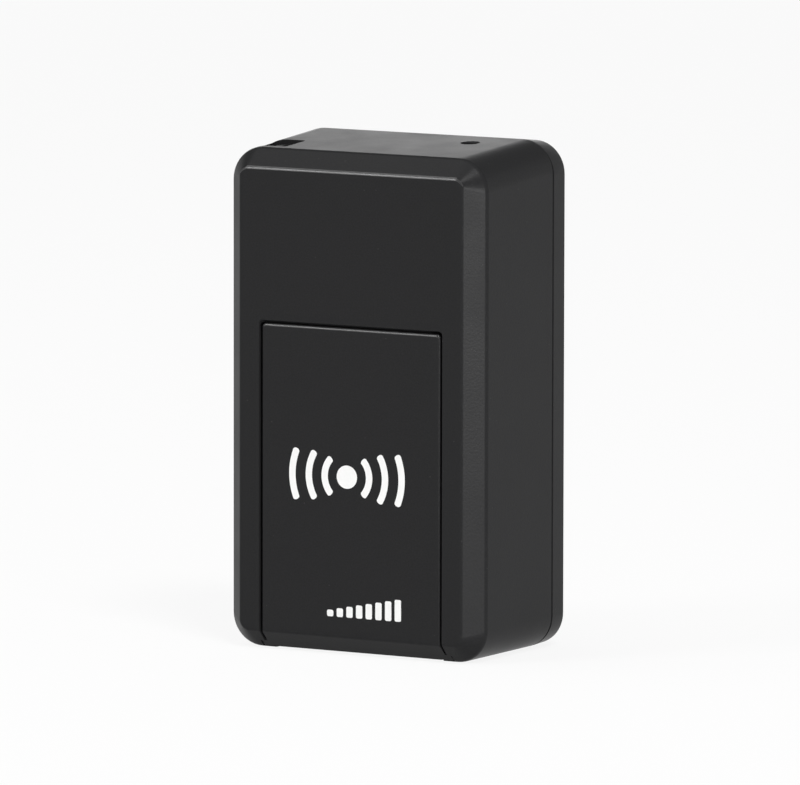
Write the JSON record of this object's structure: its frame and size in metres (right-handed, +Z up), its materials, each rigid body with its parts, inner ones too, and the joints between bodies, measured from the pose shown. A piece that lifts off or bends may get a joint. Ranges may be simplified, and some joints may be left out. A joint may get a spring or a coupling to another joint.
{
  "type": "gps tracker",
  "caption": "Small upright box tracker with a bevelled front, a card door that slides down, a flat magnetic back, a lanyard eye and a sound hole.",
  "frame": {"origin": "centre of the bounding box at the surface that the body stands on", "axes": "+Z up along the body, the longest way; front plane towards -Y and magnetic back towards +Y; +X to the right seen from the front"},
  "size_m": [0.0204, 0.012, 0.035],
  "materials": {
    "case_plastic": "fine satin moulded black",
    "board": "green solder mask",
    "black_insulator": "moulded black connector plastic",
    "stamped_steel": "tin-plated stamped sheet",
    "gold_contact": "gold flash",
    "card_white": "plain white card",
    "card_black": "black card",
    "boot_rubber": "soft black rubber",
    "lead_red": "red insulation",
    "lead_black": "black insulation",
    "cell_foil": "dull pouch foil",
    "foam": "double-sided foam tape",
    "nickel": "bright nickel plate",
    "ceramic_block": "fired ceramic",
    "chip_epoxy": "black moulding compound",
    "lamp_resin": "clear white resin"
  },
  "bodies": {
    "body": {"front_case": "case_plastic", "rear_cover": "case_plastic", "main_board": "board", "card_holder": "black_insulator", "sim_cage": "stamped_steel", "sim_contacts": "gold_contact", "memory_contacts": "gold_contact", "usb_shell": "stamped_steel", "usb_tongue": "black_insulator", "usb_contacts": "gold_contact", "mic_capsule": "stamped_steel", "mic_boot": "boot_rubber", "mic_leads": "lead_red", "battery_cell": "cell_foil", "battery_board": "board", "battery_pad": "foam", "positive_lead": "lead_red", "negative_lead": "lead_black", "upper_magnet": "nickel", "lower_magnet": "nickel", "antenna": "ceramic_block", "shield_can": "stamped_steel", "modem_chip": "chip_epoxy", "flash_chip": "chip_epoxy", "power_chip": "chip_epoxy", "crystal": "stamped_steel", "small_parts": "ceramic_block", "status_leds": "lamp_resin", "board_screws": "nickel"},
    "door": {"sim_door": "case_plastic"},
    "network_card": {"sim_card": "card_white"},
    "storage_card": {"memory_card": "card_black"}
  },
  "joints": [
    {"name": "door_slide", "type": "slide", "parent": "body", "child": "door", "axis": [0, 0, -1], "range_m": [0, 0.024]},
    {"name": "network_card_slide", "type": "slide", "parent": "body", "child": "network_card", "axis": [0, 0, -1], "range_m": [0, 0.0052]},
    {"name": "storage_card_slide", "type": "slide", "parent": "body", "child": "storage_card", "axis": [0, 0, -1], "range_m": [0, 0.0047]}
  ]
}
